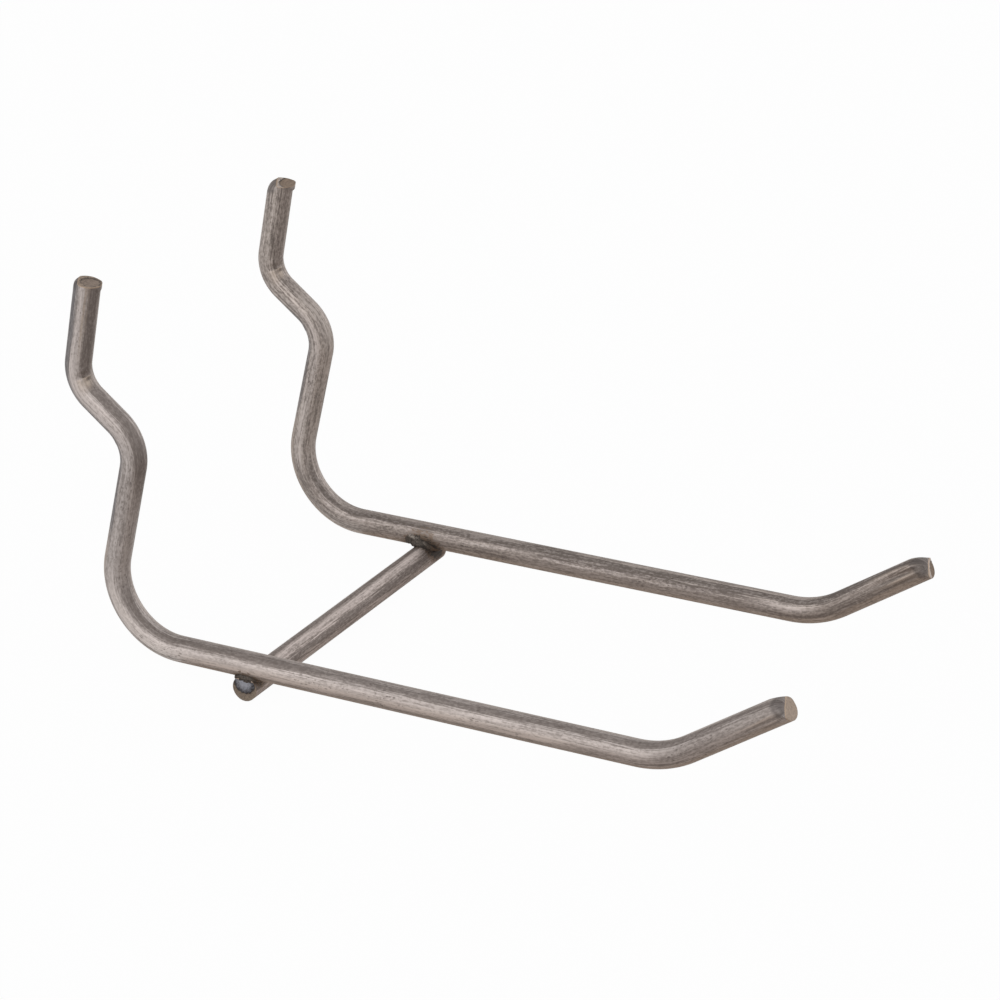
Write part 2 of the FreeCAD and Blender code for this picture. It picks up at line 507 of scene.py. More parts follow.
def press(piece, moves):
    """Moves each vertex by its own vector, one Displace modifier for each direction."""
    for axis, name in enumerate("XYZ"):
        for sign in (1, -1):
            amounts = np.clip(moves[:, axis] * sign, 0, None)
            most = amounts.max()
            if most >= least_move:
                displace(piece, amounts / most, direction=name, strength=sign * most, mid_level=0)


def roughen(piece, weights, grain, depth):
    """Uneven surface where the weights are, from a cloud texture of that grain size."""
    cloud = bpy.data.textures.new("grain", "CLOUDS")
    cloud.noise_scale = grain
    cloud.noise_depth = 2
    displace(piece, weights, texture=cloud, texture_coords="LOCAL", strength=depth, mid_level=0.5)


print("press and roughen ready")

# %% [markdown]
# The wire is a ring of points that is drawn out. Its long faces are then divided, so that
# marks find points to move, and its open ends are closed with ever smaller rings.

# %% Drawing a tube out of a circle
def start_tube(name, centre, heading_vector, radius):
    """A circle across the wire, ready to be drawn out in edit mode."""
    select_none()
    bpy.ops.mesh.primitive_circle_add(vertices=around, radius=radius, fill_type="NOTHING",
                                      location=centre)
    piece = bpy.context.object
    piece.name = name
    piece.data.name = name
    piece.rotation_mode = "QUATERNION"
    piece.rotation_quaternion = heading_vector.to_track_quat("Z", "Y")
    bpy.ops.object.transform_apply(location=True, rotation=True, scale=True)
    bpy.ops.object.mode_set(mode="EDIT")
    bpy.ops.mesh.select_all(action="SELECT")
    return piece


def draw_straight(step, length):
    """Extrudes the selected ring along a direction."""
    bpy.ops.mesh.extrude_region_move(TRANSFORM_OT_translate={"value": step * length})


def divide_long_edges(piece, step, longer_than, near=None):
    """Cuts long edges into short ones, so that marks can be pressed in anywhere there."""
    bpy.ops.object.mode_set(mode="OBJECT")
    while True:
        places = vertex_places(piece)
        ends = edge_ends(piece)
        lengths = np.linalg.norm(places[ends[:, 0]] - places[ends[:, 1]], axis=1)
        wanted = lengths > longer_than
        if near is not None:
            middles = (places[ends[:, 0]] + places[ends[:, 1]]) / 2
            wanted &= np.linalg.norm(middles - np.array(near[0]), axis=1) < near[1]
        if not wanted.any():
            break
        length = lengths[wanted].max()
        select_parts(piece, "EDGE", wanted & (np.abs(lengths - length) < 0.01 * mm))
        bpy.ops.mesh.subdivide(number_cuts=max(1, round(length / step) - 1))
        bpy.ops.object.mode_set(mode="OBJECT")


def cap_end(piece, centre, outward, radius):
    """Closes an open end: a face, a small bevel at its rim, and rings inset to its middle."""
    places = vertex_places(piece)
    beyond = (places - np.array(centre)) @ np.array(outward)
    away = np.linalg.norm(places - np.array(centre), axis=1)
    select_parts(piece, "VERT", (np.abs(beyond) < 0.01 * mm) & (away < radius * 1.05))
    bpy.ops.mesh.edge_face_add()
    rim = 0.05 * mm
    bpy.ops.mesh.inset(thickness=rim)
    bpy.ops.transform.translate(value=Vector(outward) * rim * 0.4)
    rings = 17
    for _ in range(rings):
        bpy.ops.mesh.inset(thickness=(radius - rim) / (rings + 0.6))
    bpy.ops.mesh.poke()
    bpy.ops.object.mode_set(mode="OBJECT")


print("edges along the wire", round(pitch / mm, 2), "mm, near its ends", round(end_pitch / mm, 2))

# %% [markdown]
# ## The two bent wires
#
# A hook is one circle, extruded along the straight runs and spun round the centre of
# each bend. The near wire was cut a little longer at both ends than the far one, so it
# gets its own lengths there. The straights are then divided finely, most of all near the
# cut ends and in the bends, where tools have left marks.

# %% Drawing one hook
def hook_ends(side, peg_extra, tip_extra):
    """Middle of the peg's end and of the tip's end."""
    offset = Vector((0, side, 0))
    peg, tip = runs["peg"], runs["tip"]
    peg_end = peg["start"] + offset - toward(peg["heading"]) * peg_extra
    tip_end = tip["end"] + offset + toward(tip["heading"]) * tip_extra
    return peg_end, tip_end


def recalculate_normals(piece):
    """Turns every face outwards."""
    select_only(piece)
    bpy.ops.object.mode_set(mode="EDIT")
    bpy.ops.mesh.select_all(action="SELECT")
    bpy.ops.mesh.normals_make_consistent(inside=False)
    bpy.ops.object.mode_set(mode="OBJECT")


def draw_hook(name, side, peg_extra, tip_extra):
    """One bent wire with closed, still square ends."""
    offset = Vector((0, side, 0))
    peg, tip = runs["peg"], runs["tip"]
    peg_end, tip_end = hook_ends(side, peg_extra, tip_extra)
    piece = start_tube(name, peg_end, toward(peg["heading"]), wire_r)
    for label, run in runs.items():
        if "turn" in run:
            step = pitch / 2 if label in ("peg_bend", "crank_bend") else pitch
            bpy.ops.mesh.spin(steps=round(run["length"] / step), angle=math.radians(run["turn"]),
                              center=run["centre"] + offset, axis=(0, 1, 0))
        else:
            extra = {"peg": peg_extra, "tip": tip_extra}.get(label, 0)
            draw_straight(toward(run["heading"]), run["length"] + extra)
    bpy.ops.mesh.select_all(action="SELECT")
    bpy.ops.mesh.remove_doubles(threshold=0.001 * mm)
    divide_long_edges(piece, pitch, 2 * pitch)
    for end in (peg_end, tip_end):
        divide_long_edges(piece, end_pitch, 0.8 * pitch, (end, end_zone))
    cap_end(piece, peg_end, -toward(peg["heading"]), wire_r)
    cap_end(piece, tip_end, toward(tip["heading"]), wire_r)
    recalculate_normals(piece)
    return piece


left_side, right_side = -hook_spacing / 2, hook_spacing / 2
hook_extras = {left_side: (0.45 * mm, 1.0 * mm), right_side: (0.0, 0.0)}
left_wire = draw_hook("drawn_left_wire", left_side, *hook_extras[left_side])
right_wire = draw_hook("drawn_right_wire", right_side, *hook_extras[right_side])
for piece in (left_wire, right_wire):
    print(piece.name, len(piece.data.vertices), "vertices")

# %% [markdown]
# ## The bar
#
# The bar is the same wire, cut straight and laid across under both arms. On the left it
# stops just short of the arm's side, on the right it stands a little past it.

# %% Bar
weld_set_down = 0.8 * mm
bar_r = 3.76 * mm / 2
bar_overhang_left, bar_overhang_right = -0.15 * mm, 0.42 * mm
arm = runs["arm"]
arm_ahead = toward(arm["heading"])
arm_below = toward(arm["heading"] - 90)
ahead_axis = np.array(arm_ahead)
up_axis = -np.array(arm_below)
bar_line = arm["start"] + arm_ahead * 11.4 * mm + arm_below * (wire_r + bar_r - weld_set_down)
bar_left = bar_line - Vector((0, hook_spacing / 2 + wire_r + bar_overhang_left, 0))
bar_right = bar_line + Vector((0, hook_spacing / 2 + wire_r + bar_overhang_right, 0))
bar_ends = ((bar_left, Vector((0, -1, 0))), (bar_right, Vector((0, 1, 0))))

cross_bar = start_tube("drawn_cross_bar", bar_left, Vector((0, 1, 0)), bar_r)
draw_straight(Vector((0, 1, 0)), (bar_right - bar_left).length)
divide_long_edges(cross_bar, pitch, 2 * pitch)
for end, outward in bar_ends:
    divide_long_edges(cross_bar, end_pitch, 0.8 * pitch, (end, end_zone))
    cap_end(cross_bar, end, outward, bar_r)
recalculate_normals(cross_bar)
print("bar from", [round(x / mm, 2) for x in bar_left], "to", [round(x / mm, 2) for x in bar_right])

# %% [markdown]
# ## Sheared ends
#
# Wire is cut by two blades that slide past each other. On one side the blade first
# drags the skin over the corner, then cuts a smooth band, and then the rest tears off,
# rough and a little hollow, and leaves a burr that bulges past the far side. Each of the
# six ends was cut in its own way, so each has its own numbers. Where the skin was
# dragged over the end it stays skin, with its streaks, and only the rest shows a face.

# %% Shape of a sheared end
end_marks = {}
shear_hollow = 0.16 * mm
shear_step = 0.07 * mm
shear_reach = 3.2 * mm
torn_grain = 0.3 * mm
torn_rough = 0.10 * mm
burr_width = 0.5 * mm


def mark_store(piece):
    """Three numbers for each vertex: cut face, torn part of it, and dragged skin."""
    count = len(piece.data.vertices)
    if piece.name not in end_marks:
        end_marks[piece.name] = np.zeros((count, 3))
    return end_marks[piece.name]


def shear_end(piece, centre, outward, to_burr, radius, roll, width, corner, tear, burr, bulge,
              slant):
    """Presses roll-over, hollow, tear and burr into a closed end, and marks its parts.

    roll and width are how deep and how far in the skin is dragged over, corner rounds it
    off, tear is a circle (where across the end, how large, 1 if torn inside it), burr and
    bulge are how far the burr stands out, and slant is how much shorter that side is."""
    outward, to_burr = np.array(outward), np.array(to_burr)
    places = vertex_places(piece) - np.array(centre)
    beyond, across = places @ outward, places @ to_burr
    offset = np.linalg.norm(places - np.outer(beyond, outward), axis=1)
    near = np.linalg.norm(places, axis=1) < 3.5 * radius
    on_face = (beyond > -0.03 * mm) & near
    rim_across = across * radius / np.maximum(offset, 0.02 * mm)
    over = 1 - np.clip((across + radius) / width, 0, 1)
    over_rim = 1 - np.clip((rim_across + radius) / width, 0, 1)
    rounding = corner * smooth_step(0, 0.5, over_rim)
    dragged = roll * (1 - np.sqrt(1 - over ** 2))
    past = np.clip(offset - (radius - rounding), 0, rounding)
    dragged += rounding - np.sqrt(np.maximum(rounding ** 2 - past ** 2, 0))
    fade = np.where(on_face, 1, np.clip((beyond + shear_reach) / shear_reach, 0, 1)) * near
    move = -dragged * fade

    sideways = places @ np.cross(outward, to_burr)
    ragged = 0.035 * np.sin(9.1 * sideways / mm + 40 * width / mm)
    ragged += 0.025 * np.sin(21 * (sideways + across) / mm)
    from_middle = np.hypot(across / radius - tear[0], sideways / radius) + ragged
    sign = 1 if tear[2] else -1
    torn_depth = np.clip(0.5 + 0.6 * sign * (tear[1] - from_middle), 0, 1)
    torn = smooth_step(0.46, 0.54, torn_depth) * on_face
    inside = smooth_step(1.0, 0.86, offset / radius)
    hollow = np.clip(1 - ((across / radius - 0.35) / 1.0) ** 2 * 0.7, 0, 1)
    hollow *= smooth_step(1.0, 0.3, offset / radius)
    move -= torn * inside * (shear_step + shear_hollow * hollow)
    lip = smooth_step(radius - burr_width, radius, across) * smooth_step(-0.5 * mm, 0, beyond) * near
    move += lip * burr
    move -= slant * smooth_step(-0.1 * radius, radius, across) * fade
    side_lip = smooth_step(0.55, 0.98, rim_across / radius) * smooth_step(-1.05 * mm, -0.7 * mm, beyond)
    side_lip *= smooth_step(0.7, 1.0, offset / radius) * near
    press(piece, np.outer(move, outward) + np.outer(side_lip * bulge, to_burr))
    roughen(piece, torn * inside * 0.9, torn_grain, torn_rough)

    marks = mark_store(piece)
    skin = smooth_step(0.12, 0.3, over) + smooth_step(0.3, 0.6, past / np.maximum(rounding, 0.03 * mm))
    face = on_face * np.clip(1 - skin, 0, 1)
    marks[:, 0] = np.maximum(marks[:, 0], face)
    marks[:, 1] = np.where(near, torn_depth, marks[:, 1])
    # The dragged skin is later darkened, partly as painted shade of the rolled corner.
    drag = smooth_step(0.0, 0.5, over_rim) * smooth_step(-1.1 * mm, -0.1 * mm, beyond) * near
    marks[:, 2] = np.maximum(marks[:, 2], drag * (1 - face))


def round_side(piece, centre, outward, side, depth, reach):
    """Bends one side of an end gently inwards, as the blade pushed it before it cut."""
    outward, side = np.array(outward), np.array(side)
    places = vertex_places(piece) - np.array(centre)
    near = np.linalg.norm(places, axis=1) < reach + 2.5 * mm
    towards_side = smooth_step(0.0, wire_r, places @ side)
    last_part = np.clip((places @ outward + reach) / reach, 0, 1) ** 1.6
    press(piece, np.outer(towards_side * last_part * near * -depth, side))


print("hollow", round(shear_hollow / mm, 2), "mm, burr", round(burr_width / mm, 2), "mm wide")

# %% [markdown]
# Here each end gets its numbers. The near wire's peg was cut most cleanly, the far wire's
# ends were dragged furthest, and the blade pushed one side of each tip inwards.

# %% Six sheared ends
peg_outward, tip_outward = -toward(runs["peg"]["heading"]), toward(runs["tip"]["heading"])
peg_side = (toward(runs["peg"]["heading"] + 90), Vector((0, 1, 0)))
tip_side = (toward(runs["tip"]["heading"] - 90), Vector((0, 1, 0)))


def turned_side(sides, degrees):
    """A direction across the wire's end, turned from the first side towards the second."""
    return sides[0] * math.cos(math.radians(degrees)) + sides[1] * math.sin(math.radians(degrees))


left_peg_end, left_tip_end = hook_ends(left_side, *hook_extras[left_side])
right_peg_end, right_tip_end = hook_ends(right_side, *hook_extras[right_side])
shear_end(left_wire, left_peg_end, peg_outward, turned_side(peg_side, 28), wire_r,
          0.35 * mm, 0.75 * mm, 0.32 * mm, (0.17, 0.72, True), 0.05 * mm, 0.12 * mm, 0)
shear_end(right_wire, right_peg_end, peg_outward, turned_side(peg_side, 28), wire_r,
          1.2 * mm, 1.6 * mm, 0.6 * mm, (1.1, 1.25, True), 0.08 * mm, 0.26 * mm, -0.2 * mm)
shear_end(left_wire, left_tip_end, tip_outward, turned_side(tip_side, 43), wire_r,
          0.7 * mm, 1.5 * mm, 0.6 * mm, (1.2, -1.0, True), 0.05 * mm, 0.0, 0)
shear_end(right_wire, right_tip_end, tip_outward, turned_side(tip_side, 43), wire_r,
          1.1 * mm, 2.4 * mm, 0.7 * mm, (1.2, 0.95, True), 0.05 * mm, 0.0, 0.4 * mm)
round_side(left_wire, left_tip_end, tip_outward, -tip_side[0], 0.45 * mm, 2.3 * mm)
round_side(right_wire, right_tip_end, tip_outward, -tip_side[0], 0.75 * mm, 2.4 * mm)
for end, outward in bar_ends:
    shear_end(cross_bar, end, outward, arm_below, bar_r,
              0.3 * mm, 0.7 * mm, 0.2 * mm, (-0.5, 0.9, False), 0.03 * mm, 0.0, 0)
for name, marks in end_marks.items():
    print(name, "vertices on cut faces", int((marks[:, 0] > 0.5).sum()))

# %% [markdown]
# ## Marks of the bender, the vice and the welder
#
# The bending tool's nose leaves a ledge inside the tight upper bends: the wire is pushed
# in as it comes to the nose, and ends at a short step. A vice has left two creases along
# the far wire's tip and a faint one along the near wire's. And the welder pressed both
# arms into the bar, so that the bar lies in a shallow saddle in each.

# %% Bar pressed into the arms
def bed_bar(piece):
    """Pushes the arm's underside up to the bar's surface, where the two would cross."""
    places = vertex_places(piece) - np.array(bar_line)
    across, height = places @ ahead_axis, places @ up_axis
    surface = np.sqrt(np.maximum(bar_r ** 2 - across ** 2, 0))
    crossing = (np.abs(across) < bar_r) & (height > 0) & (height < surface)
    lift = np.where(crossing, surface - height, 0)
    press(piece, np.outer(lift, up_axis))
    print(piece.name, "pressed up by", round(lift.max() / mm, 2), "mm")


bed_bar(left_wire)
bed_bar(right_wire)

# %% [markdown]
# A ledge is worked out along the wire and round it: a slope that rises to the place of
# the nose, a step, a small pit, and after them the skin that the nose scraped. The slope
# is later darkened as painted shade.

# %% Ledges inside the bends
tool_marks = {}


def bend_ledge(piece, side, name, depth, at_angle):
    """A slope into a bend that ends at a small step, and a pit after it."""
    run = runs[name]
    along, left, over = place_on_wire(vertex_places(piece), side)
    aside = np.degrees(np.arctan2(over, left)) - at_angle
    aside = (aside + 180) % 360 - 180
    t = (along - run["from"] - run["length"] / 2) / mm + 0.55 + 0.006 * aside
    facing = np.exp(-(aside / 34) ** 2)
    slope = smooth_step(-1.7, -0.2, t) * smooth_step(0.16, -0.12, t) * facing
    pit = np.clip(1 - ((t - 0.7) / 0.4) ** 2, 0, 1) * np.exp(-((aside - 14) / 14) ** 2)
    scraped = smooth_step(-0.05, 0.15, t) * smooth_step(3.2, 0.8, t) * facing
    inward = np.array(toward(run["outer"] + run["turn"] / 2)) * math.cos(math.radians(at_angle))
    inward = inward - np.array((0, math.sin(math.radians(at_angle)), 0))
    amount = (slope + 0.6 * pit) * depth
    press(piece, np.outer(amount, inward))
    marks = tool_marks.setdefault(piece.name, np.zeros((len(along), 3)))
    marks += np.stack([slope, scraped, pit], 1)
    print(piece.name, name, "ledge", round(amount.max() / mm, 2), "mm")


for piece, side in ((left_wire, left_side), (right_wire, right_side)):
    bend_ledge(piece, side, "peg_bend", 0.26 * mm, -36)
    bend_ledge(piece, side, "crank_bend", 0.16 * mm, 180)

# %% [markdown]
# A crease is a groove with a small ridge of pushed-up steel on both sides. It is deepest
# just behind the cut end, and fades out along the wire. Its groove is later darkened as
# painted shade, and its ridges are painted pale as highlights.

# %% Creases along the tips
tip_left = np.array(toward(runs["tip"]["heading"] + 90))


def crease(piece, side, at_angle, sweep, depth, half_width, length):
    """A groove along a tip with a small ridge on both sides, and their marks."""
    along, left, over = place_on_wire(vertex_places(piece), side)
    along_end = wire_length - along
    middle = at_angle + sweep * smooth_step(5 * mm, 0, along_end)
    aside = np.radians(np.degrees(np.arctan2(over, left)) - middle) * wire_r / half_width
    groove = np.exp(-(aside * 1.5) ** 2)
    ridge = np.exp(-((aside - 1.5) * 2.2) ** 2) + 0.5 * np.exp(-((aside + 1.5) * 2.2) ** 2)
    grown = smooth_step(length, 0.3 * length, along_end) * (np.hypot(left, over) > 0.6 * wire_r)
    grown *= 0.35 + 0.65 * smooth_step(0, 1.6 * mm, along_end)
    amount = (0.25 * ridge - groove) * depth * grown
    skin_out = np.outer(np.cos(np.radians(middle)), tip_left)
    skin_out[:, 1] += np.sin(np.radians(middle))
    press(piece, skin_out * amount[:, None])
    # The groove's mark gives painted shade, the ridge's a painted highlight.
    tool_marks[piece.name] += np.stack([groove, 0.5 * ridge, np.zeros_like(ridge)], 1) * grown[:, None]
    print(piece.name, "crease", round(-amount.min() / mm, 2), "mm deep")


crease(right_wire, right_side, -62, -12, 0.34 * mm, 0.55 * mm, 13 * mm)
crease(right_wire, right_side, -104, 8, 0.14 * mm, 0.4 * mm, 9 * mm)
crease(left_wire, left_side, -104, 6, 0.08 * mm, 0.3 * mm, 8 * mm)

# %% [markdown]
# ## Welds
#
# A resistance weld has no added bead. Current heats the two wires where they touch, and
# the press squeezes out a collar of half-molten steel that freezes as dark, ragged lips
# in the corner between them. Each collar starts as a sphere, is squashed flat between the
# wires, and is then roughened twice: in large lumps and in fine grains.

# %% Weld collars
collar_marks = {}


def joint_place(side):
    """Middle of the joint between an arm and the bar."""
    return bar_line + Vector((0, side, 0)) - arm_below * (bar_r - weld_set_down / 2)


def weld_collar(name, side, half_length, half_width, half_height, shift, lean, sag, tilt):
    """A squashed, lumpy ball of squeezed-out steel. Its lower half keeps the share sag."""
    joint = joint_place(side)
    joint = joint + arm_ahead * shift[0] + Vector((0, shift[1], 0)) - arm_below * shift[2]
    select_none()
    bpy.ops.mesh.primitive_uv_sphere_add(segments=96, ring_count=48, radius=1, location=joint)
    piece = bpy.context.object
    piece.name = name
    piece.data.name = name
    piece.scale = (half_length, half_width, half_height)
    piece.rotation_mode = "QUATERNION"
    axes = Matrix((arm_ahead, Vector((0, 1, 0)), -arm_below)).transposed()
    piece.rotation_quaternion = axes.to_quaternion()
    bpy.ops.object.transform_apply(location=True, rotation=True, scale=True)
    places = vertex_places(piece) - np.array(joint)
    ahead, across, height = places @ ahead_axis, places[:, 1], places @ up_axis
    near_lip = smooth_step(-0.3, -0.9, across / half_width)
    near_lip *= np.clip(1 - (height / half_height) ** 2, 0, 1)
    lifted = near_lip * lean + np.where(height < 0, -height * (1 - sag), 0) - ahead * tilt
    press(piece, np.outer(lifted, up_axis))
    everywhere = np.ones(len(places))
    roughen(piece, everywhere, 0.9 * mm, 0.55 * mm)
    roughen(piece, everywhere, 0.28 * mm, 0.16 * mm)
    recalculate_normals(piece)
    # A thin line along the upper lip, painted pale later as a highlight.
    lip = np.exp(-((height / half_height - 0.52) / 0.08) ** 2)
    lip *= smooth_step(0.3, -0.3, ahead / half_length) * (sag < 1)
    edge = smooth_step(0.45, 0.85, np.abs(ahead) / half_length)
    collar_marks[name] = np.stack([lip, edge, np.zeros(len(lip))], 1)
    print(name, "vertices", len(places))
    return piece


left_weld = weld_collar("left_weld_collar", left_side, 2.3 * mm, 1.98 * mm, 1.15 * mm,
                        (-0.1 * mm, 0.05 * mm, -0.1 * mm), 0.1 * mm, 1.0, 0.0)
right_weld = weld_collar("right_weld_collar", right_side, 3.1 * mm, 2.3 * mm, 2.2 * mm,
                         (-0.75 * mm, -0.1 * mm, 0.25 * mm), 0.15 * mm, 0.35, 0.2)

# %% [markdown]
# ## Where everything lies on the wire
#
# The finish follows the wire round its bends, so a pattern on plain object coordinates
# won't do. Every vertex therefore keeps its own place: how far along the wire, and the
# offset from the centre line, in millimetres. Three more attributes keep the cut faces,
# the other tool marks, and how hot the welder made the steel, and a fourth keeps the lips
# and edges of the weld collars. The material nodes read all of them by name.

# %% Attributes for the finishes
def keep(piece, name, values):
    """Stores one or three numbers for each vertex, for the material nodes to read."""
    kind, field = ("FLOAT_VECTOR", "vector") if values.ndim == 2 else ("FLOAT", "value")
    layer = piece.data.attributes.new(name, kind, "POINT")
    layer.data.foreach_set(field, np.ascontiguousarray(values, dtype=np.float32).ravel())


def weld_heat(places):
    """1 next to a weld, 0 away from it."""
    heat = np.zeros(len(places))
    for side, hot, cold in ((left_side, 1.0 * mm, 2.6 * mm), (right_side, 1.85 * mm, 3.6 * mm)):
        away = places - np.array(joint_place(side))
        away -= np.outer(away @ ahead_axis, ahead_axis) * 0.25
        heat = np.maximum(heat, smooth_step(cold, hot, np.linalg.norm(away, axis=1)))
    return heat


def keep_attributes(piece, along, left, over):
    """Wire place, cut marks and heat of one wire. On rolled ends the skin runs inwards."""
    places = vertex_places(piece)
    marks = mark_store(piece)
    offset = np.hypot(left, over)
    is_skin = marks[:, 0] < 0.5
    inwards = np.clip(wire_r - offset, 0, wire_r) * is_skin
    outer = np.where(is_skin, wire_r / np.maximum(offset, 0.25 * wire_r), 1)
    heat = weld_heat(places)
    keep(piece, "wire_place", np.stack([along + inwards, left * outer, over * outer], 1) / mm)
    keep(piece, "end_marks", marks)
    keep(piece, "tool_marks", tool_marks.get(piece.name, np.zeros((len(places), 3))))
    keep(piece, "weld_heat", heat)
    print(piece.name, "hot vertices", int((heat > 0.5).sum()))


for piece, side in ((left_wire, left_side), (right_wire, right_side)):
    keep_attributes(piece, *place_on_wire(vertex_places(piece), side))
bar_places = vertex_places(cross_bar) - np.array(bar_left)
keep_attributes(cross_bar, bar_places[:, 1], bar_places @ up_axis, bar_places @ ahead_axis)
for piece in (left_weld, right_weld):
    keep(piece, "collar_marks", collar_marks[piece.name])

# %% [markdown]
# ## The finish of drawn wire
#
# Wire is pulled through a die, which leaves fine lines along it. Rolls and guides then
# rub some sides bright, and the lubricant burns or dries brown on others, in bands that
# run the length of the wire. Other bands along the wire are painted highlights and
# painted shade, which stand for the bright and dark reflections on round steel. Last come
# small dark pits and specks of the mill's scale.
# Each effect is a node group, built once, so that three wires can wear it differently.

# %% Fine lines from the die
tree, given, result = new_group(
    "drawing_lines",
    (("Place", "vector"), ("Width", "value"), ("Length", "value"), ("Start", "value")),
    (("Lines", "value"),))
lines_group = tree
along, left, over = split_node(tree, given["Place"])
run_on = math_node(tree, "ADD", math_node(tree, "DIVIDE", along, given["Length"]), given["Start"])
stretched = add_node(tree, "ShaderNodeCombineXYZ",
                     {0: run_on, 1: math_node(tree, "DIVIDE", left, given["Width"]),
                      2: math_node(tree, "DIVIDE", over, given["Width"])})
noise = noise_node(tree, stretched.outputs[0], 1.0, 3.0, 0.6)
tree.links.new(ramp_node(tree, noise, 0.36, 0.64), result["Lines"])
print("group", tree.name)

# %% [markdown]
# Tarnish, rubbing, painted highlights and painted shade all keep to one side of the wire,
# though never quite: a band wanders slowly along the wire, and its edges fray along the
# drawing lines. For tarnish and rubbing the wander follows the wire turning in the rolls.

# %% A band along one side
tree, given, result = new_group(
    "side_band",
    (("Place", "vector"), ("Angle", "value"), ("Half Width", "value"), ("Softness", "value"),
     ("Wander", "value"), ("Fray", "value"), ("Start", "value")),
    (("Band", "value"),))
band_group = tree
along, left, over = split_node(tree, given["Place"])
side_angle = product(tree, math_node(tree, "ARCTAN2", over, left), 180 / math.pi)
slow = math_node(tree, "ADD", math_node(tree, "DIVIDE", along, 9.0), given["Start"])
drift = add_node(tree, "ShaderNodeTexNoise", {"W": slow, "Scale": 1.0, "Detail": 2.0},
                 noise_dimensions="1D").outputs["Fac"]
drift = product(tree, math_node(tree, "SUBTRACT", drift, 0.5), given["Wander"])
gap = math_node(tree, "ADD", math_node(tree, "SUBTRACT", side_angle, given["Angle"]), drift)
gap = add_node(tree, "ShaderNodeMath", {0: gap, 1: 180.0, 2: -180.0}, operation="WRAP")
gap = math_node(tree, "ADD", math_node(tree, "ABSOLUTE", gap.outputs[0]), given["Fray"])
outer = math_node(tree, "ADD", given["Half Width"], given["Softness"])
tree.links.new(ramp_node(tree, gap, given["Half Width"], outer, 1.0, 0.0), result["Band"])
print("group", tree.name)

# %% [markdown]
# Mottle is a cloudy noise that is a little longer along the wire than across it. Pits are
# Voronoi cells of uneven size, let through only where a slow noise makes them clump.

# %% Mottle and pits
tree, given, result = new_group(
    "mottle_and_pits",
    (("Place", "vector"), ("Grain", "value"), ("Pit Spacing", "value"), ("Pit Share", "value"),
     ("Start", "vector")),
    (("Mottle", "value"), ("Pits", "value")))
specks_group = tree
moved = add_node(tree, "ShaderNodeVectorMath", {0: given["Place"], 1: given["Start"]},
                 operation="ADD").outputs[0]
squeezed = add_node(tree, "ShaderNodeVectorMath", {0: moved, 1: (0.48, 1.0, 1.0)},
                    operation="MULTIPLY").outputs[0]
grained, spaced = [
    add_node(tree, "ShaderNodeVectorMath",
             {0: squeezed, "Scale": math_node(tree, "DIVIDE", 1.0, given[size_name])},
             operation="SCALE").outputs[0]
    for size_name in ("Grain", "Pit Spacing")]
noise = noise_node(tree, grained, 1.0, 4.0, 0.65)
tree.links.new(ramp_node(tree, noise, 0.37, 0.63), result["Mottle"])
cells = add_node(tree, "ShaderNodeTexVoronoi", {"Vector": spaced, "Scale": 1.0})
clumps = ramp_node(tree, noise_node(tree, squeezed, 0.35, 2.0), 0.42, 0.66)
pit_size = product(tree, clumps, given["Pit Share"], cells.outputs["Color"])
pit = math_node(tree, "SUBTRACT", pit_size, cells.outputs["Distance"])
tree.links.new(ramp_node(tree, pit, -0.1, 0.2), result["Pits"])
print("group", tree.name)

# %% [markdown]
# Heat colours steel in a fixed order: straw, brown, blue, and at last black scale. The
# group turns the stored heat into that order, with a noise that makes its edge ragged.

# %% Heat colours
heat_straw = (0.155, 0.108, 0.075)
heat_black = (0.047, 0.039, 0.033)
tree, given, result = new_group(
    "heat_colours",
    (("Steel", "colour"), ("Heat", "value"), ("Grain", "value")),
    (("Colour", "colour"), ("Scale", "value")))
heat_group = tree
uneven = product(tree, math_node(tree, "SUBTRACT", given["Grain"], 0.5), 0.55)
heat = math_node(tree, "ADD", given["Heat"], uneven)
heat = product(tree, heat, ramp_node(tree, given["Heat"], 0.0, 0.1))
straw = mix_colour(tree, ramp_node(tree, heat, 0.1, 0.4, 0.0, 0.75), given["Steel"], heat_straw)
black = ramp_node(tree, heat, 0.5, 0.85)
tree.links.new(mix_colour(tree, black, straw, heat_black), result["Colour"])
tree.links.new(black, result["Scale"])
print("group", tree.name)

# %% [markdown]
# A cut face has three looks. The blade's band is smooth and grey blue, the torn part is
# rough and has rusted to a dull tan, and its edge is scraped bright. On the bar the band
# darkens towards the torn part as painted shade. A dark line where the band meets the
# torn part is a painted shadow of the step. The skin that the blade dragged over the
# corner is darker, partly from the drag and partly as painted shade of the rolled corner.

# %% Cut faces
# Painted shade on the blade's band, towards the torn part.
shaded_cut = (0.055, 0.053, 0.058)
torn_speck = (0.13, 0.10, 0.08)
# A painted shadow line at the step.
step_shadow = (0.05, 0.043, 0.04)
# Dragged skin, darker partly as painted shade of the rolled corner.
dragged_skin_shade = (0.10, 0.088, 0.085)
scraped_edge = (0.46, 0.345, 0.25)
tree, given, result = new_group(
    "cut_faces",
    (("Steel", "colour"), ("Marks", "vector"), ("Band Colour", "colour"), ("Torn Colour", "colour"),
     ("Band Shade", "value"), ("Grain", "value"), ("Drag", "value")),
    (("Colour", "colour"), ("Torn", "value")))
cut_group = tree
cut, torn_ramp, drag = split_node(tree, given["Marks"])
depth = product(tree, math_node(tree, "SUBTRACT", given["Grain"], 0.5), 0.035)
depth = math_node(tree, "ADD", depth, torn_ramp)
